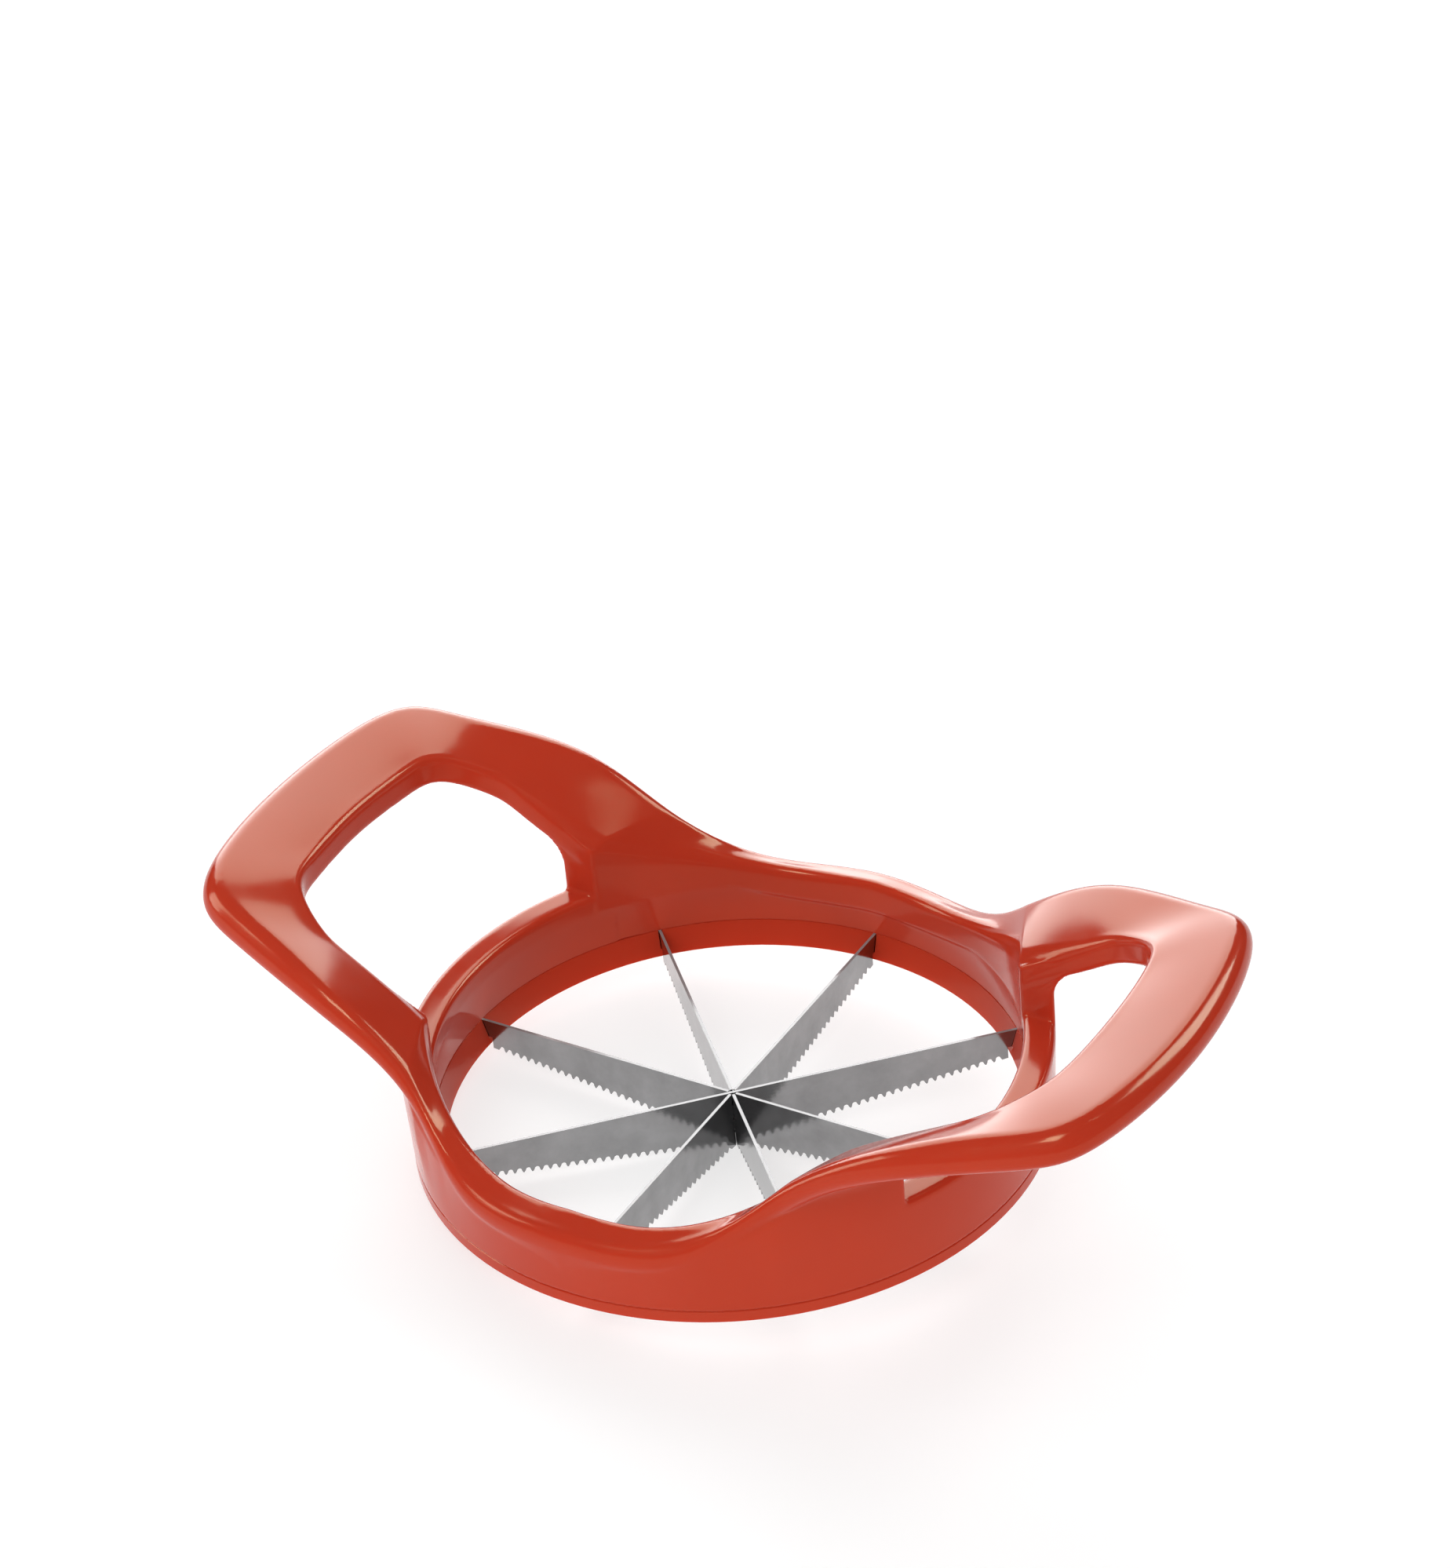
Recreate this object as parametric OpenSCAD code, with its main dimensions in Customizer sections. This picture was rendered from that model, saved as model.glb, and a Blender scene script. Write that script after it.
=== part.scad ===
// Tomato slicer: a ring body with two loop handles, a blade ring under it and four toothed blades.
// Lengths are in millimetres. X runs from handle to handle, Z is up, zero is the lowest blade point.

/* [Blades] */
// radius of the circle where the blade tops meet the ring
cut_r = 50; // [47:0.5:53]
// height of a blade at the crossing
blade_h = 10.7; // [10:0.1:12]
// thickness of a blade
blade_t = 0.5; // [0.4:0.05:0.7]
// rise of the toothed edge from the crossing to the ring
edge_rise = 5.4; // [4.8:0.1:5.8]
// distance between two teeth
tooth_pitch = 1.5; // [1.4:0.05:2.2]
// depth of the gap between two teeth
tooth_depth = 0.9; // [0.7:0.05:1]

/* [Blade ring] */
// height of the ring's flange, which closes the body from below
flange_h = 2.3; // [1.8:0.1:2.6]
// height of the collar between the ring's underside and the blade tops
collar_h = 4.5; // [4.4:0.1:5.2]
// how far a blade end reaches into its slot
slot_in = 1.1; // [0.8:0.1:1.3]

/* [Ring wall] */
// wall thickness of the body over the collar
wall_t = 4.4; // [4:0.1:5]
// how much further out the wall stands at its top than at its foot
wall_out = 0.5; // [0.3:0.1:0.8]
// height of the low wall inside the handle loops, over the blade tops
low_wall_h = 11.5; // [9:0.1:13]

/* [Rim and handles] */
// height of the rim over the blade tops, at the sides
rim_h = 10.9; // [9.5:0.1:12.5]
// height of the handle bars over the blade tops
bar_h = 40; // [34:0.5:44]
// distance of a bar's outer edge from the axis
reach = 87; // [82:0.2:94]
// half width of a handle over its corners
handle_w = 34.5; // [33:0.1:38]
// half width of the loop that the hand goes through
loop_w = 25.6; // [23.5:0.1:27]
// width of a handle bar
bar_w = 16.2; // [14:0.1:19]
// thickness of the rim
band_t = 6; // [5.9:0.1:7]
// thickness of the handles
arm_t = 5.6; // [5:0.1:6.5]
// how much lower a bar's inner edge is than its outer edge
bar_lean = 2.3; // [0:0.1:3]
// crown of the handles' upper side
crown = 0.2; // [0:0.1:0.8]
// rounding of the upper outer edge
edge_top = 3.6; // [2.5:0.1:3.6]
// rounding of the lower outer edge
edge_low = 2.2; // [1:0.1:2.2]
// rounding of the handles' upper inner edge
edge_in = 1.5; // [1:0.1:2.5]
// rounding of the upper inner edge where the arms leave the rim
edge_root = 4.5; // [2.5:0.1:4.8]
// rounding of the handles' lower inner edge
edge_foot = 0.8; // [0.5:0.1:1]

/* [Hidden] */
// gap beside a blade in its slot, and between curved faces
slot_gap = 0.1;
curve_gap = 0.3;
// steps of the band round a quarter of the rim, and along an arm to the bar's middle
side_steps = 12;
arm_steps = 24;
// the rim runs down into the wall as a skirt: its slant, and how deep its foot is in the wall
skirt_a = 8;
skirt_in = 0.4;
// a rounded edge of the band leaves at least this much flat beside the next one
least_flat = 0.1;
// points on a rounded edge of the band
low_points = 4;
top_points = 5;
crown_points = 3;
// levels
z_top = blade_h;
z_under = z_top - collar_h;
z_flange = z_under + flange_h;
z_low = z_top + low_wall_h;
z_rim = z_top + rim_h;
// the wall stands back under the rim by this much
recess = 0.25;
// the body's bore and the collar's mouth stand in from the blade circle by this much
bore_in = 0.2;
mouth_in = 0.3;
// the collar's inner face slants in by this much, and its wall behind a blade end is this thick
collar_slant = 1.4;
collar_back = 0.7;
// radii of the ring
bore_r = cut_r - bore_in;
collar_in = cut_r - mouth_in;
collar_out = cut_r + slot_in + collar_back;
rebate_r = collar_out + curve_gap;
wall_r = bore_r + wall_t;
foot_r = wall_r - wall_out;
rim_r = wall_r * 1.012;
rim_in = bore_r * 0.978;
wall_in = rim_in + recess;
low_round = 1;
// slot floor and blade end, with the room behind it
slot_floor = 1.2;
end_gap = 0.2;
z_slot = z_under + slot_floor;
end_r = cut_r + slot_in;
slot_r = end_r + end_gap;
// the slots are cut from this far inside the collar
slot_cut = 5;
shoulder_r = collar_in - collar_slant - curve_gap;
far = 3 * reach;
seam = 0.2;

// Rails of the band: control points of two smooth curves for a quarter, from the side to a bar's middle.
rim_step = 22.5;
rim_ctrl = rim_r * 3 / (2 + cos(rim_step));
rise = [0.04, -0.07, 0.409, 0.777, 0.905, 1.017, 0.991];
outer_plan = [
    [0, rim_ctrl],
    [rim_ctrl * sin(rim_step), rim_ctrl * cos(rim_step)],
    [wall_r * 0.626, wall_r * 0.753],
    [wall_r * 0.923, wall_r * 0.78],
    [reach * 0.854, handle_w],
    [reach * 0.96, handle_w * 0.925],
    [reach * 1.02, 0]
];
outer_rail = [for (i = [0 : len(rise) - 1])
    [outer_plan[i][0], outer_plan[i][1], z_rim + (bar_h - rim_h) * rise[i]]];
root_a = asin(loop_w / rim_in);
inner_rail = [
    [rim_in * cos(root_a), loop_w, 0],
    [cut_r * 1.128, loop_w * 1.01, -bar_lean * 0.5],
    [cut_r * 1.192, loop_w * 1.015, -bar_lean * 1.5],
    [(reach - bar_w) * 0.969, loop_w * 0.833, -bar_lean * 0.5],
    [(reach - bar_w) * 0.99, loop_w * 0.562, -bar_lean * 1.4],
    [(reach - bar_w) * 1.005, 0, -bar_lean * 0.8]
];
root_step = 1.969;
last_t = len(outer_rail) - 1;
quarter = side_steps + arm_steps;

// A control point past either end of a rail is the mirror image of one inside it.
function flip(v, x, y) = [v[0] * x, v[1] * y, v[2]];
function mirrored(c, k) = k < 0 ? flip(c[-k], -1, 1)
    : k > len(c) - 1 ? flip(c[2 * (len(c) - 1) - k], 1, -1)
    : c[k];
function open_start(c, k) = k < 0 ? 2 * c[0] - c[1] : mirrored(c, k);
function blend(a, b, c, d, u) = (pow(1 - u, 3) * a + (3 * pow(u, 3) - 6 * u * u + 4) * b
    + (3 * u + 3 * u * u - 3 * pow(u, 3) + 1) * c + pow(u, 3) * d) / 6;
function step_of(c, t) = min(floor(t), len(c) - 2);
function outer_at(t) = let (i = step_of(outer_rail, t))
    blend(mirrored(outer_rail, i - 1), outer_rail[i], outer_rail[i + 1],
        mirrored(outer_rail, i + 2), t - i);
function loop_at(t) = let (i = step_of(inner_rail, t))
    blend(open_start(inner_rail, i - 1), inner_rail[i], inner_rail[i + 1],
        mirrored(inner_rail, i + 2), t - i);
function rail_t(k) = k <= side_steps ? root_step * k / side_steps
    : root_step + (last_t - root_step) * (k - side_steps) / arm_steps;
function side_a(k) = 90 + (root_a - 90) * pow(k / side_steps, 1.4);
function inner_at(k) = k <= side_steps ? [rim_in * cos(side_a(k)), rim_in * sin(side_a(k)), 0]
    : loop_at((len(inner_rail) - 1) * (k - side_steps) / arm_steps);

// One section of the band, from its inner lower edge over the top to its outer edge and the skirt's foot.
function turn(x, z, r, from, to, n) = [for (i = [0 : n - 1]) let (a = from + (to - from) * i / (n - 1))
    [x + r * cos(a), z + r * sin(a)]];
function bow(a, b, h) = [for (i = [1 : crown_points]) let (f = i / (crown_points + 1))
    a + (b - a) * f + [0, 4 * h * f * (1 - f)]];
function profile(w, zi, zo, arm, over, root) = let (
        thick = band_t + (arm_t - band_t) * arm,
        t = min(edge_top, w * 0.6),
        b = min(edge_low, w * 0.48, thick - t - least_flat),
        e = min(edge_in + (edge_root - edge_in) * root, w * 0.3, thick - edge_foot - least_flat),
        low_in = zo - thick + (zi - zo) * arm,
        low_out = zo - thick,
        middle = [(edge_foot + w - b) / 2, (low_in + low_out) / 2],
        foot = [w - over - skirt_in, z_top + curve_gap])
    concat(
        turn(edge_foot, low_in + edge_foot, edge_foot, 270, 180, low_points),
        turn(e, zi - e, e, 180, 90, top_points),
        bow([e, zi], [w - t, zo], crown * min(1, w / bar_w) * arm),
        turn(w - t, zo - t, t, 90, 0, top_points),
        turn(w - b, low_out + b, b, 0, -skirt_a - (90 - skirt_a) * arm, low_points),
        [foot + (middle - foot) * arm]);
function section(k) = let (
        o = outer_at(rail_t(k)),
        i = inner_at(k),
        w = norm([o[0] - i[0], o[1] - i[1]]),
        u = [(o[0] - i[0]) / w, (o[1] - i[1]) / w],
        arm = min(1, k / side_steps),
        over = norm([o[0], o[1]]) - wall_r,
        past = max(0, 1 - max(0, k - side_steps) / (0.3 * arm_steps)))
    [for (p = profile(w, o[2] + i[2], o[2], arm, over, pow(arm * past, 2)))
        [i[0] + u[0] * p[0], i[1] + u[1] * p[0], p[1]]];

// The closed loop of sections: the quarter and its three mirror images.
sections = [for (k = [0 : quarter]) section(k)];
ring_n = len(sections[0]);
loop_n = 4 * quarter;
function quarter_of(j) = floor(j / quarter);
function place(j) = quarter_of(j) % 2 == 0 ? j % quarter : quarter - j % quarter;
function sign_x(j) = quarter_of(j) < 2 ? 1 : -1;
function sign_y(j) = quarter_of(j) == 0 || quarter_of(j) == 3 ? 1 : -1;
loop_points = [for (j = [0 : loop_n - 1]) for (p = sections[place(j)]) flip(p, sign_x(j), sign_y(j))];
function at(j, i) = (j % loop_n) * ring_n + i % ring_n;
loop_faces = [for (j = [0 : loop_n - 1]) for (i = [0 : ring_n - 1]) for (half = [0, 1])
    half == 0 ? [at(j, i), at(j, i + 1), at(j + 1, i + 1)] : [at(j, i), at(j + 1, i + 1), at(j + 1, i)]];

module band() {
    polyhedron(loop_points, loop_faces, convexity = 10);
}

// Height over X where the ring wall ends inside the band, under the rounding of its upper outer edge.
mid_line = [for (k = [0 : side_steps + 6]) let (o = outer_at(rail_t(k)), i = inner_at(k))
    [(o[0] + i[0]) / 2, o[2] - band_t * 0.6]];

module over_the_band() {
    line_n = len(mid_line) - 1;
    rotate([90, 0, 0])
        linear_extrude(height = far, center = true)
            polygon(concat(
                [for (i = [line_n : -1 : 0]) [-mid_line[i][0], mid_line[i][1]]],
                [for (i = [1 : line_n]) mid_line[i]],
                [[far, mid_line[line_n][1]], [far, far], [-far, far], [-far, mid_line[line_n][1]]]));
}

// Space over the low wall inside the loops: its floor is the wall's rounded top.
module over_the_low_wall() {
    outer = foot_r + wall_out * (z_low - z_flange) / (z_rim - z_flange);
    clear = 2 * low_round;
    intersection() {
        translate([-far, -loop_w - recess, 0])
            cube([2 * far, 2 * (loop_w + recess), far]);
        rotate_extrude($fn = 180)
            difference() {
                translate([wall_in - clear, z_low - low_round])
                    square([far, far]);
                translate([wall_in - 2 * clear, z_low - 2 * low_round])
                    square([2 * clear + low_round, low_round * 2]);
                translate([wall_in + low_round, z_low - low_round])
                    circle(r = low_round, $fn = 48);
                translate([wall_in + low_round, z_low - 2 * low_round])
                    square([outer - wall_in - 2 * low_round, low_round * 2]);
                translate([outer - low_round, z_low - low_round])
                    circle(r = low_round, $fn = 48);
            }
    }
}

// The wall flares out under the arms: an arc of this radius turns it by half a right angle.
flare = band_t;
flare_steps = 6;
z_flare = z_top + bar_h * 0.418;
flare_y = loop_w * 1.235;
plain_line = [[wall_r, z_top + bar_h]];
flare_line = concat(
    [for (i = [0 : flare_steps]) let (a = 45 * i / flare_steps)
        [wall_r + flare * (1 - cos(a)), z_flare + flare * sin(a)]],
    [[wall_r + flare * (2 - cos(45)), z_flare + flare * (1 + sin(45))],
    [wall_r + flare * (2 - cos(45)), z_top + bar_h]]);

module wall_shape(line) {
    rotate_extrude($fn = 180)
        polygon(concat(
            [[rebate_r, z_flange], [foot_r, z_flange], [wall_r, z_rim]],
            line,
            [[wall_in, z_top + bar_h], [wall_in, z_rim - band_t / 2], [bore_r, z_top], [rebate_r, z_top]]));
}

module ring_wall() {
    difference() {
        union() {
            wall_shape(plain_line);
            intersection() {
                wall_shape(flare_line);
                translate([-far, -flare_y, 0])
                    cube([2 * far, 2 * flare_y, far]);
            }
        }
        over_the_band();
        over_the_low_wall();
    }
}

module body() {
    color([0.74, 0.16, 0.10]) {
        ring_wall();
        band();
    }
}

module blade_ring() {
    color([0.74, 0.16, 0.10])
        difference() {
            rotate_extrude($fn = 180)
                polygon([
                    [collar_in - collar_slant, z_under],
                    [foot_r - seam, z_under],
                    [foot_r, z_under + seam],
                    [foot_r, z_flange - seam],
                    [foot_r - seam, z_flange],
                    [collar_out, z_flange],
                    [collar_out, z_top],
                    [collar_in, z_top]
                ]);
            for (i = [0 : 7])
                rotate([0, 0, i * 45])
                    translate([cut_r - slot_cut, -blade_t / 2 - slot_gap, z_slot])
                        cube([slot_r - cut_r + slot_cut, blade_t + 2 * slot_gap, collar_h]);
        }
}

// Toothed strip in the XZ plane; its uncut bridge at the crossing is quarter number "level" from below.
edge_slope = edge_rise / cut_r;
edge_turn = atan(edge_slope);
gullet_r = tooth_pitch * 0.28;
gullet_z = tooth_depth - gullet_r;
// plain edge beside the crossing, least plain edge at a blade's end, and half the width of a tooth's tip
plain_edge = 2;
plain_end = 0.4;
tip_half = 0.05;
tooth_n = floor((shoulder_r - plain_edge - plain_end) / tooth_pitch);
// the other strips cross at 45 degrees or more, so the widest one needs this much room
cross_w = blade_t * (1 + sqrt(2)) + 2 * slot_gap;
bridge = blade_h / 4;

module gullet() {
    foot = tooth_pitch / 2 - tip_half;
    translate([0, gullet_z])
        circle(r = gullet_r, $fn = 32);
    polygon([
        [-foot, -2 * tip_half],
        [foot, -2 * tip_half],
        [gullet_r * 0.97, gullet_z],
        [-gullet_r * 0.97, gullet_z]
    ]);
}

module blade(level) {
    rotate([90, 0, 0])
        linear_extrude(height = blade_t, center = true)
            difference() {
                polygon([
                    [0, 0],
                    [shoulder_r, edge_slope * shoulder_r],
                    [shoulder_r, z_slot],
                    [end_r, z_slot],
                    [end_r, z_top],
                    [-end_r, z_top],
                    [-end_r, z_slot],
                    [-shoulder_r, z_slot],
                    [-shoulder_r, edge_slope * shoulder_r]
                ]);
                for (side = [-1, 1])
                    for (i = [0 : tooth_n - 1])
                        let (x = plain_edge + tooth_pitch * (i + 0.5))
                            translate([side * x, edge_slope * x])
                                rotate(side * edge_turn)
                                    gullet();
                if (level < 3)
                    translate([-cross_w / 2, bridge * (level + 1)])
                        square([cross_w, blade_h]);
                if (level > 0)
                    translate([-cross_w / 2, -1])
                        square([cross_w, bridge * level + 1]);
            }
}

module blade_across() {
    color([0.78, 0.79, 0.80])
        blade(0);
}

module blade_diagonal_a() {
    color([0.78, 0.79, 0.80])
        rotate([0, 0, 45])
            blade(3);
}

module blade_middle() {
    color([0.78, 0.79, 0.80])
        rotate([0, 0, 90])
            blade(1);
}

module blade_diagonal_b() {
    color([0.78, 0.79, 0.80])
        rotate([0, 0, 135])
            blade(2);
}

body();
blade_ring();
blade_across();
blade_diagonal_a();
blade_middle();
blade_diagonal_b();
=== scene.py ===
import math

import bmesh
import bpy
import numpy as np
from mathutils import Matrix, Vector


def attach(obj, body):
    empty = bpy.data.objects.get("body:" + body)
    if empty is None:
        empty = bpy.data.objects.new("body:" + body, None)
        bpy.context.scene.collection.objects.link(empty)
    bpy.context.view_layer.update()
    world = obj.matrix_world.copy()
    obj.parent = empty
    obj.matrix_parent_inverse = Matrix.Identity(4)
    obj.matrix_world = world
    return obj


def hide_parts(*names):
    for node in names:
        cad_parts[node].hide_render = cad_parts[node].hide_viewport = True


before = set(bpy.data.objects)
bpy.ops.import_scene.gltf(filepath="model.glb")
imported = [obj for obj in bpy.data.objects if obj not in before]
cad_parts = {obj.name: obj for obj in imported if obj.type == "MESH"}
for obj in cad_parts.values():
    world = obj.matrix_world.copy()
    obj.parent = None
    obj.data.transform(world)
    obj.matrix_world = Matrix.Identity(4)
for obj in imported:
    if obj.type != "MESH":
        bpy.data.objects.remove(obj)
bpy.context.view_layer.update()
scene = bpy.context.scene
MM = 0.001

# Sizes of the body in millimetres, under the names that they have in the part's source.
cut_r = 50.0        # radius of the circle where the blade tops meet the ring
blade_h = 10.7      # height of a blade at the crossing
flange_h = 2.3      # height of the blade ring's flange
collar_h = 4.5      # height of its collar, from the ring's underside to the blade tops
collar_back = 0.7   # collar wall behind a blade end
slot_in = 1.1       # how far a blade end reaches into its slot
bore_in = 0.2       # how far the bore stands in from the blade circle
wall_t = 4.4        # wall thickness over the collar
wall_out = 0.5      # how much further out the wall stands at its top than at its foot
low_wall_h = 11.5   # height of the low wall inside the loops, over the blade tops
low_round = 1.0     # rounding of the low wall's upper edges
rim_h = 10.9        # height of the rim over the blade tops, at the sides
bar_h = 40.0        # height of the handle bars over the blade tops
reach = 87.0        # distance of a bar's outer edge from the axis
handle_w = 34.5     # half width of a handle over its corners
loop_w = 25.6       # half width of a loop
bar_w = 16.2        # width of a bar
band_t = 6.0        # thickness of the rim
arm_t = 5.6         # thickness of the handles
bar_lean = 2.3      # how much lower a bar's inner edge is than its outer edge
crown = 0.2         # crown of the handles' upper side
edge_top = 3.6      # rounding of the upper outer edge
edge_low = 2.2      # rounding of the lower outer edge
edge_in = 1.5       # rounding of the upper inner edge
edge_root = 4.5     # rounding of the upper inner edge where the arms leave the rim
edge_foot = 0.8     # rounding of the lower inner edge
curve_gap = 0.3     # gap between curved faces
least_flat = 0.1    # flat that is left between two rounded edges
skirt_a = 8.0       # slant of the rim's skirt, in degrees
skirt_in = 0.4      # how deep the skirt's foot is in the wall

# Levels and radii.
z_top = blade_h
z_flange = z_top - collar_h + flange_h
z_low = z_top + low_wall_h
z_rim = z_top + rim_h
z_rim_mid = z_rim - band_t / 2
bore_r = cut_r - bore_in
rebate_r = cut_r + slot_in + collar_back + curve_gap
wall_r = bore_r + wall_t
foot_r = wall_r - wall_out
rim_r = wall_r * 1.012
rim_in = bore_r * 0.978
flare = band_t
z_flare = z_top + bar_h * 0.418

# The skin laps over the collar and the flange by this much, so that no light shows through the seams.
seat_lap = 0.7
base_lap = 0.1
z_seat = z_top - seat_lap
z_base = z_flange - base_lap

# Finer form of the rim than in the solid: the top falls outwards and its edges are tighter.
rim_raise = 0.3
rim_drop = 0.6
rim_top_tighter = 1.4
rim_in_tighter = 0.4

# Rails of the rim and handle band: control points for a quarter, from the side to a bar's middle.
rim_step = math.radians(22.5)
rim_ctrl = rim_r * 3 / (2 + math.cos(rim_step))
rise = np.array([0.04, -0.07, 0.409, 0.777, 0.905, 1.017, 0.991])
outer_rail = np.array([
    [0, rim_ctrl, 0],
    [rim_ctrl * math.sin(rim_step), rim_ctrl * math.cos(rim_step), 0],
    [wall_r * 0.626, wall_r * 0.753, 0],
    [wall_r * 0.923, wall_r * 0.78, 0],
    [reach * 0.854, handle_w, 0],
    [reach * 0.96, handle_w * 0.925, 0],
    [reach * 1.02, 0, 0],
])
outer_rail[:, 2] = z_rim + (bar_h - rim_h) * rise
root_a = math.asin(loop_w / rim_in)
inner_rail = np.array([
    [rim_in * math.cos(root_a), loop_w, 0],
    [cut_r * 1.128, loop_w * 1.01, -bar_lean * 0.5],
    [cut_r * 1.192, loop_w * 1.015, -bar_lean * 1.5],
    [(reach - bar_w) * 0.969, loop_w * 0.833, -bar_lean * 0.5],
    [(reach - bar_w) * 0.99, loop_w * 0.562, -bar_lean * 1.4],
    [(reach - bar_w) * 1.005, 0, -bar_lean * 0.8],
])
# place on the outer rail where an arm leaves the rim
root_step = 1.969
# stations of the band round a quarter of the rim, and along an arm to the bar's middle
side_stations = 40
arm_stations = 110
# the inner stations of the rim lie closer together towards the side by this power
side_ease = 1.4
# the wide rounding at a root fades out over this share of the arm
root_share = 0.3
# a rounded edge takes at most this share of a section's width
top_share = 0.6
low_share = 0.48
in_share = 0.3
# points on the rounded edges of a section and on its crown
foot_points = 6
in_points = 11
crown_points = 9
top_points = 13
low_points = 9


def spline(points, before, after, t):
    """Uniform cubic B-spline at the values t, over control points with one more before and after them."""
    p = np.vstack([before, points, after])
    i = np.minimum(np.floor(t).astype(int), len(points) - 2)
    u = (t - i)[:, None]
    return ((1 - u) ** 3 * p[i] + (3 * u ** 3 - 6 * u ** 2 + 4) * p[i + 1]
            + (3 * u + 3 * u ** 2 - 3 * u ** 3 + 1) * p[i + 2] + u ** 3 * p[i + 3]) / 6


def rails():
    """Outer and inner edge of the band, station by station."""
    mirror_x, mirror_y = [-1, 1, 1], [1, -1, 1]
    on_rim = np.linspace(0, root_step, side_stations + 1)
    on_arm = np.linspace(root_step, len(outer_rail) - 1, arm_stations + 1)[1:]
    out = spline(outer_rail, outer_rail[1] * mirror_x, outer_rail[-2] * mirror_y,
                 np.concatenate([on_rim, on_arm]))
    a = math.pi / 2 + (root_a - math.pi / 2) * np.linspace(0, 1, side_stations + 1) ** side_ease
    side = np.stack([rim_in * np.cos(a), rim_in * np.sin(a), np.zeros_like(a)], 1)
    arm = spline(inner_rail, 2 * inner_rail[0] - inner_rail[1], inner_rail[-2] * mirror_y,
                 np.linspace(0, len(inner_rail) - 1, arm_stations + 1)[1:])
    inner = np.concatenate([side, arm])
    inner[:, 2] += out[:, 2]
    return out, inner


def turn(x, z, r, start, end, n):
    """Arc of n points round a centre, between two angles in degrees."""
    a = np.radians(np.linspace(start, end, n))
    return np.stack([x + r * np.cos(a), z + r * np.sin(a)], 1)


def band_profile(w, zi, zo, arm, over, root):
    """One section of the band, from its inner lower edge over the top to the skirt's foot in the wall.

    The section is w wide, with its top from the height zi inside to zo outside. arm goes from 0 at the rim's
    side to 1 on an arm, over is how far the outer edge is outside the wall, and root is 1 where an arm
    leaves the rim.
    """
    thick = band_t + (arm_t - band_t) * arm
    low_in, low_out = zo - thick + (zi - zo) * arm, zo - thick
    rim = 1 - arm ** 2
    zi, zo = zi + rim_raise * rim, zo - rim_drop * rim
    top_r = min(edge_top - rim_top_tighter * rim, w * top_share)
    low_r = min(edge_low, w * low_share, zo - top_r - low_out - least_flat)
    in_r = min(edge_in + (edge_root - edge_in) * root, w * in_share, thick - edge_foot - least_flat)
    in_r -= rim_in_tighter * rim
    middle = np.array([(edge_foot + w - low_r) / 2, (low_in + low_out) / 2])
    foot = np.array([w - over - skirt_in, z_top + curve_gap])
    f = np.linspace(0, 1, crown_points + 2)[1:-1]
    bow = 4 * crown * min(1, w / bar_w) * arm * f * (1 - f)
    return np.concatenate([
        turn(edge_foot, low_in + edge_foot, edge_foot, 270, 180, foot_points),
        turn(in_r, zi - in_r, in_r, 180, 90, in_points),
        np.stack([in_r + (w - top_r - in_r) * f, zi + (zo - zi) * f + bow], 1),
        turn(w - top_r, zo - top_r, top_r, 90, 0, top_points),
        turn(w - low_r, low_out + low_r, low_r, 0, -skirt_a - (90 - skirt_a) * arm, low_points),
        [foot + (middle - foot) * arm]])


def loft(rings, closed):
    """Vertices and faces of a tube through equal rings of points; an open one gets end caps."""
    n, m = len(rings), len(rings[0])
    faces = []
    for j in range(n if closed else n - 1):
        next_j = (j + 1) % n
        for i in range(m):
            next_i = (i + 1) % m
            faces.append((j * m + i, j * m + next_i, next_j * m + next_i, next_j * m + i))
    if not closed:
        faces.append(tuple(range(m)))
        faces.append(tuple((n - 1) * m + i for i in range(m))[::-1])
    return np.concatenate(rings), faces


def band(out, inner):
    """Rim, arms and bars as one closed loop: a quarter and its three mirror images."""
    quarter = []
    for k, (o, i) in enumerate(zip(out, inner)):
        w = math.hypot(o[0] - i[0], o[1] - i[1])
        u = (o[:2] - i[:2]) / w
        arm = min(1, k / side_stations)
        past = max(0, 1 - max(0, k - side_stations) / (root_share * arm_stations))
        over = math.hypot(o[0], o[1]) - wall_r
        p = band_profile(w, i[2], o[2], arm, over, (arm * past) ** 2)
        quarter.append(np.stack([i[0] + u[0] * p[:, 0], i[1] + u[1] * p[:, 0], p[:, 1]], 1))
    last = len(quarter) - 1
    rings = []
    for number, (sx, sy) in enumerate(((1, 1), (1, -1), (-1, -1), (-1, 1))):
        order = range(last) if number % 2 == 0 else range(last, 0, -1)
        rings += [quarter[k] * [sx, sy, 1] for k in order]
    return loft(rings, True)


out, inner = rails()
# height over X where the wall ends inside the band, this share of its thickness under the top
wall_end = 0.6
mid_x = (out[:, 0] + inner[:, 0]) / 2
mid_z = out[:, 2] - band_t * wall_end
# the band's outer edge seen from above
edge_angle = np.arctan2(out[:, 1], out[:, 0])
edge_radius = np.hypot(out[:, 0], out[:, 1])

# Ring wall: from the first of these angles to the second, it leans out more and more to the rim's edge.
lean_from, lean_full = math.radians(42), math.radians(58)
lean_power = 1.3
# the side walls begin this far beside the loops, and the low walls end this far beside them
loop_lap = 0.1
low_wall_lap = 3.0
# the flare stays this far inside the band's outer edge
flare_in = 0.5
# this far outside the rim's inner edge are the inner faces: of the side walls over the rim's middle,
# and of the low walls at their top and at the rim's middle
side_top_out = 0.05
low_top_out = 0.15
low_mid_out = 0.2
# levels and stations of the walls, and points on a rounded edge of the low wall
wall_levels = 30
wall_stations = 141
low_wall_stations = 91
round_points = 8
# passes in which the radius of a point on a side wall settles
outer_passes = 3
inner_passes = 2


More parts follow.
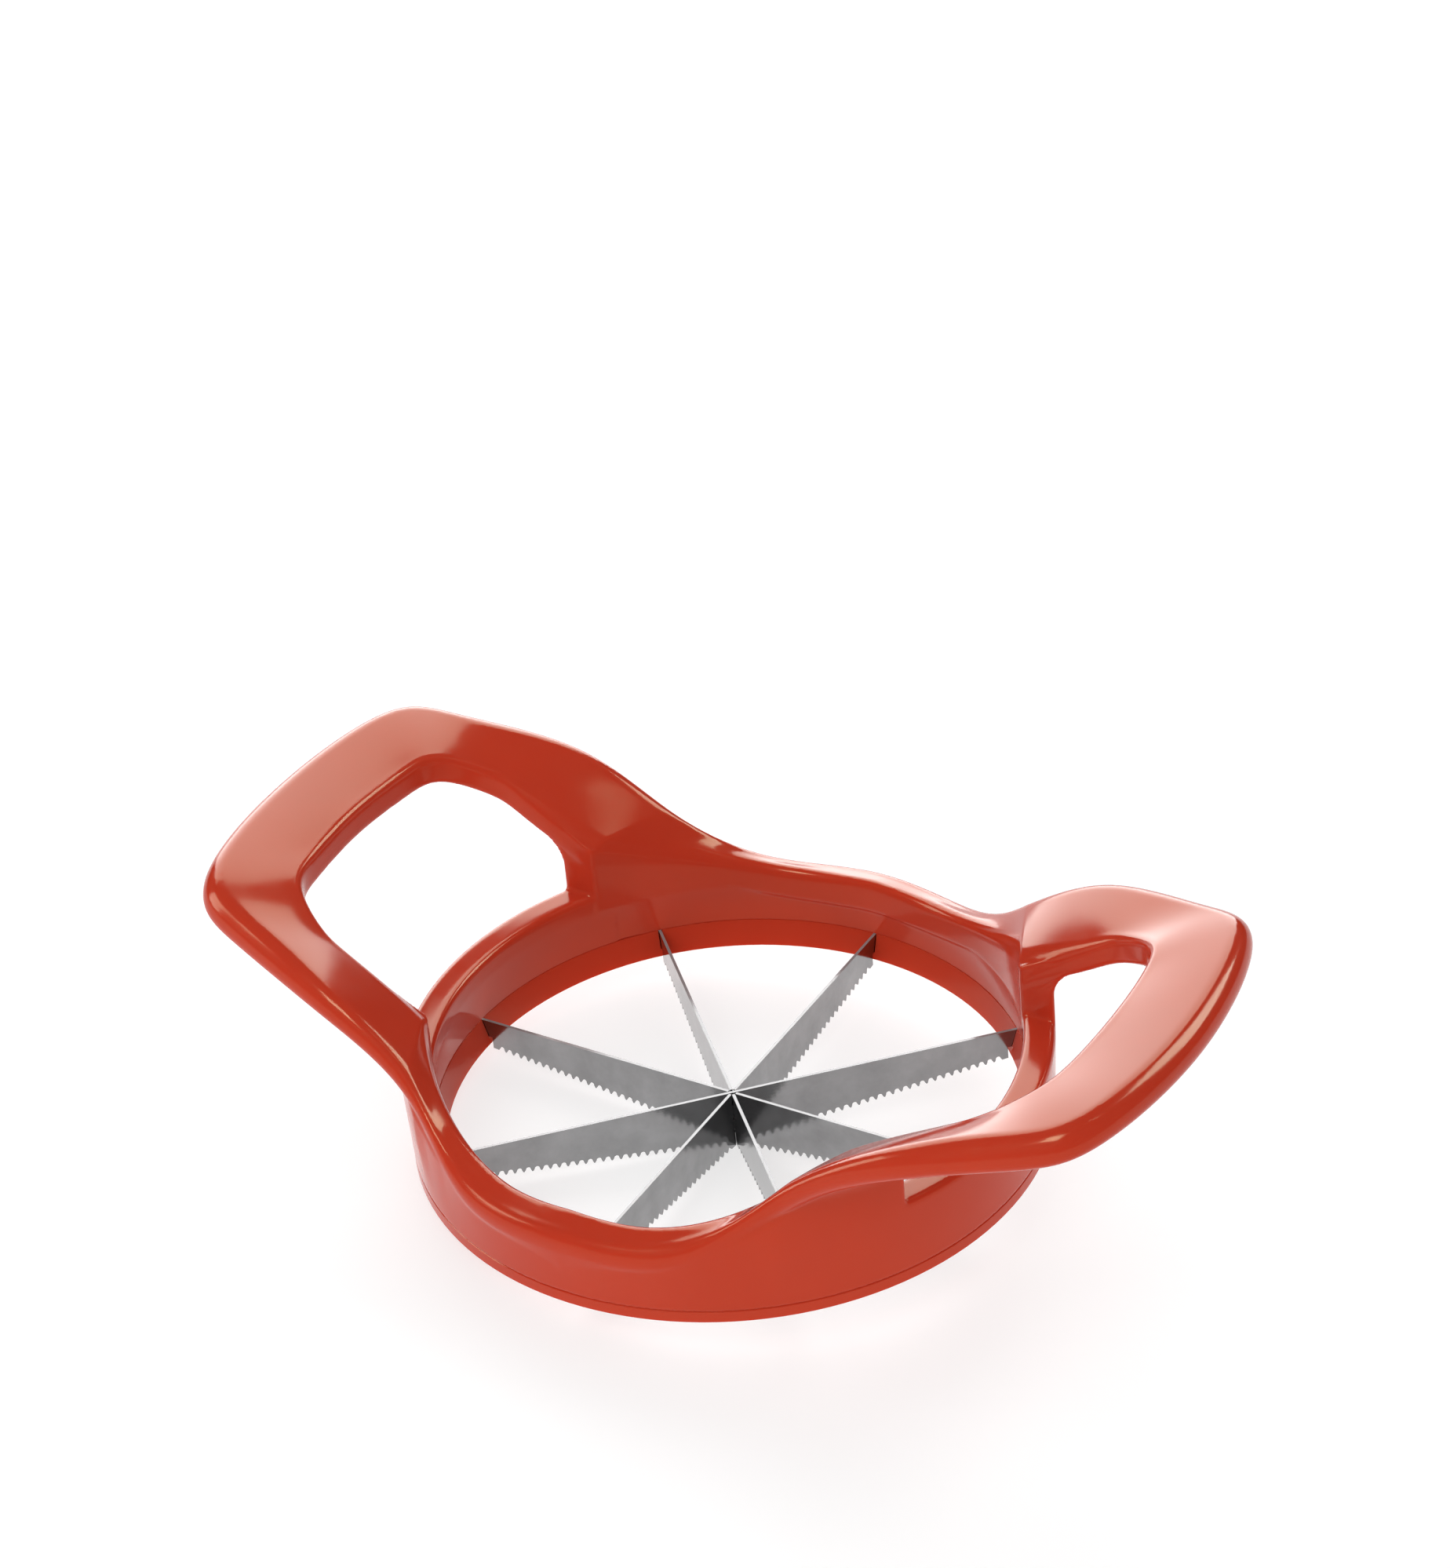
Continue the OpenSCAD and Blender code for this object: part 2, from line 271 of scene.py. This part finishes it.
def outline_radius(angle):
    """Radius of the band's outer edge at an angle of the upper half."""
    a = math.pi - angle if angle > math.pi / 2 else angle
    return float(np.interp(a, edge_angle[::-1], edge_radius[::-1]))


def flared(z):
    """How far the wall stands out under the arms: an arc that ends at half a right angle."""
    h, bend = z - z_flare, flare * math.sin(math.pi / 4)
    if h <= 0:
        return 0.0
    return flare - math.sqrt(flare ** 2 - h ** 2) if h < bend else flare - bend + h - bend


def share(value, low, high):
    """How far a value is from low to high, from 0 to 1."""
    return np.clip((value - low) / (high - low), 0, 1)


def outer_radius(a, z):
    """Outside of a side wall: it leans out to the rim's edge and flares out under the arms."""
    over = max(0, outline_radius(a) - wall_r)
    fade = share(min(a, math.pi - a), lean_from, lean_full)
    lean = min(over, rim_r - wall_r) * fade * share(z, z_flange, z_rim_mid) ** lean_power
    stands_out = max(lean, min(max(0, over - flare_in), flared(z)))
    return foot_r + wall_out * share(z, z_flange, z_rim) + stands_out


def inner_radius(a, z):
    """Inside of a side wall, the same at every angle: the collar's rebate, and over it the bore."""
    if z < z_seat:
        return rebate_r
    return bore_r + (rim_in + side_top_out - bore_r) * share(z, z_top, z_rim_mid) ** 2


def wall_point(radius_at, r, passes, t, s):
    """Point of a side wall, t of the way round and s of the way up; its radius settles in a few passes."""
    for _ in range(passes):
        start = math.asin((loop_w + loop_lap) / r)
        a = start + t * (math.pi - 2 * start)
        top = float(np.interp(abs(r * math.cos(a)), mid_x, mid_z))
        z = z_base + s * (top - z_base)
        r = radius_at(a, z)
    return r * math.cos(a), r * math.sin(a), z


def side_wall(sign):
    """The ring wall on one side, from loop to loop."""
    levels = np.linspace(0, 1, wall_levels)
    rings = []
    for t in np.linspace(0, 1, wall_stations):
        ring = [wall_point(outer_radius, foot_r, outer_passes, t, s) for s in levels]
        ring += [wall_point(inner_radius, rebate_r, inner_passes, t, s) for s in levels[::-1]]
        rings.append(np.array(ring) * [1, sign, 1])
    return loft(rings if sign > 0 else rings[::-1], False)


def low_wall(sign):
    """The low wall inside one loop, with rounded upper edges; its ends are inside the side walls."""
    round_z = z_low - low_round
    end = math.asin((loop_w + low_wall_lap) / rim_in)
    profile = np.concatenate([
        [[rebate_r, z_base], [foot_r, z_base]],
        turn(wall_r - low_round, round_z, low_round, 0, 90, round_points),
        turn(rim_in + low_top_out + low_round, round_z, low_round, 90, 180, round_points),
        [[rim_in + low_mid_out, z_rim_mid], [bore_r, z_top], [bore_r, z_seat], [rebate_r, z_seat]]])
    r, z = profile.T
    rings = []
    for a in np.linspace(-end, end, low_wall_stations):
        rings.append(np.stack([sign * r * math.cos(a), r * math.sin(a), z], 1))
    return loft(rings, False)


def make_mesh(name, shells):
    """One object that holds several closed shells."""
    verts, faces, start = [], [], 0
    for shell_verts, shell_faces in shells:
        verts.append(shell_verts)
        faces += [tuple(i + start for i in face) for face in shell_faces]
        start += len(shell_verts)
    mesh = bpy.data.meshes.new(name)
    mesh.from_pydata((np.concatenate(verts) * MM).tolist(), [], faces)
    mesh.update()
    obj = bpy.data.objects.new(name, mesh)
    scene.collection.objects.link(obj)
    return obj


def outward(obj):
    """Turn all faces outwards."""
    bm = bmesh.new()
    bm.from_mesh(obj.data)
    bmesh.ops.recalc_face_normals(bm, faces=bm.faces)
    bm.to_mesh(obj.data)
    bm.free()


def apply_modifiers(obj):
    """Replace the mesh by what its modifiers make of it, shaded smooth."""
    bpy.context.view_layer.update()
    seen = obj.evaluated_get(bpy.context.evaluated_depsgraph_get())
    mesh = bpy.data.meshes.new_from_object(seen)
    obj.modifiers.clear()
    obj.data = mesh
    mesh.polygons.foreach_set("use_smooth", np.ones(len(mesh.polygons), bool))
    mesh.update()


# The skin stays sharp up to the first of these heights and is eased in full from the second:
# over the flange, and inside the bore also over the blade tops.
foot_sharp, foot_eased = 0.3, 1.5
bore_sharp, bore_eased = 0.2, 1.7
# points up to this far outside the bore count as inside
bore_near = 1.0
weight_steps = 10
voxel = 0.32


def ease_weights(obj):
    """How much each point of the skin is eased, from 0 to 1."""
    co = np.zeros(len(obj.data.vertices) * 3, np.float32)
    obj.data.vertices.foreach_get("co", co)
    x, y, z = co.reshape(-1, 3).T / MM
    weights = share(z, z_flange + foot_sharp, z_flange + foot_eased)
    inside = np.hypot(x, y) < bore_r + bore_near
    weights[inside] *= share(z[inside], z_top + bore_sharp, z_top + bore_eased)
    return weights


# One skin over band and wall: the shells are joined in small voxels and eased, so every joint has a fillet.
shell = make_mesh("body_shell", [band(out, inner), side_wall(1), side_wall(-1), low_wall(1), low_wall(-1)])
outward(shell)
remesh = shell.modifiers.new("skin", "REMESH")
remesh.mode = "VOXEL"
remesh.voxel_size = voxel * MM
apply_modifiers(shell)
weight_step = np.ceil(ease_weights(shell) * weight_steps)
group = shell.vertex_groups.new(name="soft")
for step in range(1, weight_steps + 1):
    chosen = np.nonzero(weight_step == step)[0]
    if len(chosen):
        group.add(chosen.tolist(), step / weight_steps, "REPLACE")
ease = shell.modifiers.new("ease", "SMOOTH")
ease.factor = 0.5
ease.iterations = 10
ease.vertex_group = "soft"
apply_modifiers(shell)
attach(shell, "root")
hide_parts("body")


def new_material(name):
    """New material, its node tree and its shader."""
    mat = bpy.data.materials.new(name)
    mat.use_nodes = True
    return mat, mat.node_tree, mat.node_tree.nodes["Principled BSDF"]


def set_inputs(node, inputs):
    """Give constant values to a node's inputs."""
    for key, value in inputs.items():
        node.inputs[key].default_value = value


def add_node(tree, kind, inputs=None, links=None, operation=None):
    """New node with constant inputs, and with other inputs linked to outputs of earlier nodes."""
    node = tree.nodes.new(kind)
    if operation:
        node.operation = operation
    set_inputs(node, inputs or {})
    for key, source in (links or {}).items():
        tree.links.new(source, node.inputs[key])
    return node


def noise(tree, place, scale, detail, roughness, distortion=0.0):
    """Noise over a place, from about 0 to 1."""
    inputs = {"Scale": scale, "Detail": detail, "Roughness": roughness, "Distortion": distortion}
    return add_node(tree, "ShaderNodeTexNoise", inputs, {"Vector": place}).outputs["Fac"]


def spread(tree, value, source, target):
    """Map a value from one range to another."""
    inputs = {"From Min": source[0], "From Max": source[1], "To Min": target[0], "To Max": target[1]}
    return add_node(tree, "ShaderNodeMapRange", inputs, {"Value": value}).outputs["Result"]


def two_tones(tree, value, source, dark, light):
    """Colour that goes from dark to light as a value goes through a range."""
    ramp = add_node(tree, "ShaderNodeValToRGB", links={"Fac": value})
    for element, position, color in zip(ramp.color_ramp.elements, source, (dark, light)):
        element.position = position
        element.color = (*color, 1)
    return ramp.outputs["Color"]


def bump(tree, height, strength, distance, below=None):
    """Normal that follows a height, on top of another bump where one is given."""
    links = {"Height": height}
    if below is not None:
        links["Normal"] = below
    inputs = {"Strength": strength, "Distance": distance}
    return add_node(tree, "ShaderNodeBump", inputs, links).outputs["Normal"]


def plastic():
    """Glossy orange-red moulding."""
    mat, tree, shader = new_material("red_plastic")
    link = tree.links.new
    place = add_node(tree, "ShaderNodeTexCoord").outputs["Object"]
    # slow change of the pigment over the moulding
    cloud = noise(tree, place, scale=28.0, detail=3.0, roughness=0.55)
    tint = two_tones(tree, cloud, (0.30, 0.72), dark=(0.535, 0.041, 0.017), light=(0.585, 0.048, 0.020))
    link(tint, shader.inputs["Base Color"])
    # handling marks: slightly duller patches
    wear = noise(tree, place, scale=240.0, detail=6.0, roughness=0.6, distortion=0.6)
    link(spread(tree, wear, (0.35, 0.75), (0.12, 0.18)), shader.inputs["Roughness"])
    # faint flow waviness and grain of the moulded skin
    flow = noise(tree, place, scale=130.0, detail=1.0, roughness=0.4)
    grain = noise(tree, place, scale=2400.0, detail=2.0, roughness=0.5)
    wavy = bump(tree, flow, strength=0.05, distance=0.0006)
    link(bump(tree, grain, strength=0.04, distance=0.00006, below=wavy), shader.inputs["Normal"])
    set_inputs(shader, {
        "IOR": 1.46,
        "Specular IOR Level": 0.22,
        "Specular Tint": (0.92, 1.0, 0.62, 1),
        "Subsurface Weight": 0.2,
        "Subsurface Radius": (1.0, 0.18, 0.06),
        "Subsurface Scale": 0.003,
    })
    return mat


def steel():
    """Rolled steel strip, with its grain along the blade."""
    mat, tree, shader = new_material("blade_steel")
    link = tree.links.new
    coords = add_node(tree, "ShaderNodeTexCoord").outputs
    place = coords["Object"]
    # grain: streaks that are long in the distance from the axis and close together in height
    flat = add_node(tree, "ShaderNodeVectorMath", {1: (1.0, 1.0, 0.0)}, {0: place}, "MULTIPLY")
    along = add_node(tree, "ShaderNodeVectorMath", None, {0: flat.outputs["Vector"]}, "LENGTH")
    split = add_node(tree, "ShaderNodeSeparateXYZ", None, {"Vector": place})
    pair = add_node(tree, "ShaderNodeCombineXYZ", None,
                    {"X": along.outputs["Value"], "Z": split.outputs["Z"]})
    stretch = add_node(tree, "ShaderNodeVectorMath", {1: (60.0, 0.0, 9000.0)},
                       {0: pair.outputs["Vector"]}, "MULTIPLY")
    streak = noise(tree, stretch.outputs["Vector"], scale=1.0, detail=4.0, roughness=0.6)
    link(spread(tree, streak, (0.3, 0.7), (0.09, 0.17)), shader.inputs["Roughness"])
    link(bump(tree, streak, strength=0.10, distance=0.00003), shader.inputs["Normal"])
    # faint stains
    stain = noise(tree, place, scale=160.0, detail=5.0, roughness=0.6)
    tint = two_tones(tree, stain, (0.3, 0.7), dark=(0.27, 0.27, 0.272), light=(0.34, 0.34, 0.343))
    link(tint, shader.inputs["Base Color"])
    # the sheared top edge of the strip is matt, unlike its rolled faces
    facing = add_node(tree, "ShaderNodeSeparateXYZ", None, {"Vector": coords["Normal"]})
    link(spread(tree, facing.outputs["Z"], (0.6, 0.9), (1.0, 0.1)), shader.inputs["Metallic"])
    return mat


red, blade = plastic(), steel()
shell.data.materials.clear()
shell.data.materials.append(red)
for name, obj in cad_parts.items():
    obj.data.materials.clear()
    obj.data.materials.append(red if name in ("body", "blade_ring") else blade)

# Camera, fitted to the photo.
# focal length, and size of the blade circle's radius, in pixels of the photo
FOCAL, SCALE = 5620.277, 382.2183
# angles in degrees
AZ, EL, ROLL = 33.0831, 33.2205, -5.2752
# way from the middle of the blade tops to the view's middle, in radii of the blade circle
SIDE, LIFT = -0.0244, 1.026508
# height of the photo in pixels, and width of the camera's sensor in millimetres
PHOTO_H = 1998
SENSOR = 36
az, el, roll = (math.radians(v) for v in (AZ, EL, ROLL))
back = Vector((math.sin(az) * math.cos(el), -math.cos(az) * math.cos(el), math.sin(el)))
level = Vector((math.cos(az), math.sin(az), 0))
upright = back.cross(level)
right = level * math.cos(roll) + upright * math.sin(roll)
up = upright * math.cos(roll) - level * math.sin(roll)
unit = cut_r * MM
eye = Vector((0, 0, z_top * MM)) + (right * SIDE + up * LIFT + back * (FOCAL / SCALE)) * unit
cam_data = bpy.data.cameras.new("camera")
cam_data.lens = FOCAL * SENSOR / PHOTO_H
cam_data.sensor_width = SENSOR
cam_data.clip_start, cam_data.clip_end = 0.01, 50
cam = bpy.data.objects.new("camera", cam_data)
cam.matrix_world = Matrix.Translation(eye) @ Matrix((right, up, back)).transposed().to_4x4()
scene.collection.objects.link(cam)
scene.camera = cam

# The tool leans on the tip of its blade crossing, so the table is not square to the ring.
FLOOR_HALF = 4
FLOOR_GAP = 0.0001
plumb = (up * math.cos(el) + back * math.sin(el)).normalized()
corners = [(x * FLOOR_HALF, y * FLOOR_HALF, 0) for x, y in ((-1, -1), (1, -1), (1, 1), (-1, 1))]
floor_mesh = bpy.data.meshes.new("floor")
floor_mesh.from_pydata(corners, [], [(0, 1, 2, 3)])
floor = bpy.data.objects.new("floor", floor_mesh)
floor.matrix_world = Vector((0, 0, 1)).rotation_difference(plumb).to_matrix().to_4x4()
floor.location = plumb * -FLOOR_GAP
scene.collection.objects.link(floor)
table, _, table_shader = new_material("table")
set_inputs(table_shader, {
    "Base Color": (0.36, 0.36, 0.36, 1),
    "Roughness": 0.7,
    "Emission Color": (1, 1, 1, 1),
    "Emission Strength": 0.66,
})
floor_mesh.materials.append(table)

# Large lamps for the shading, and nearer cards that only show as reflections on the gloss.
# name, azimuth from the camera's side and elevation in degrees, width and height in metres, power in watts
LAMPS = (
    ("above", 0, 80, (1.6, 1.6), 1.5),
    ("behind", 184, 27, (1.5, 1.5), 4.0),
    ("front", -31, 45, (0.9, 0.9), 5.5),
)
CARDS = (
    ("card_behind", 184, 27, (1.14, 1.14), 29.0),
    ("card_front", -33, 62, (0.34, 0.34), 6.5),
    ("card_right", 114, 36, (0.40, 0.46), 8.5),
    ("card_left", -100, 28, (0.40, 0.62), 7.0),
    ("card_high", 80, 60, (0.05, 0.28), 0.25),
)
LAMP_FAR = 1.5
CARD_FAR = 1.1
# the lights' distances are counted from a point this high on the axis
AIM_H = 0.02


def softbox(name, azimuth, elevation, size, power, far):
    """Area light that faces the object."""
    a, e = math.radians(AZ + azimuth), math.radians(elevation)
    way = Vector((math.sin(a) * math.cos(e), -math.cos(a) * math.cos(e), math.sin(e)))
    data = bpy.data.lights.new(name, "AREA")
    data.shape = "RECTANGLE"
    data.size, data.size_y = size
    data.energy = power
    obj = bpy.data.objects.new(name, data)
    obj.location = way * far + Vector((0, 0, AIM_H))
    obj.rotation_euler = way.to_track_quat("Z", "Y").to_euler()
    scene.collection.objects.link(obj)
    return obj


for lamp in LAMPS:
    softbox(*lamp, LAMP_FAR).visible_glossy = False
for card in CARDS:
    softbox(*card, CARD_FAR).visible_diffuse = False

# Even light from all around, which doesn't show in the gloss.
world = bpy.data.worlds.new("studio")
scene.world = world
world.use_nodes = True
set_inputs(world.node_tree.nodes["Background"], {"Color": (1, 1, 1, 1), "Strength": 0.55})
world.cycles_visibility.glossy = False
scene.view_settings.view_transform = "Standard"
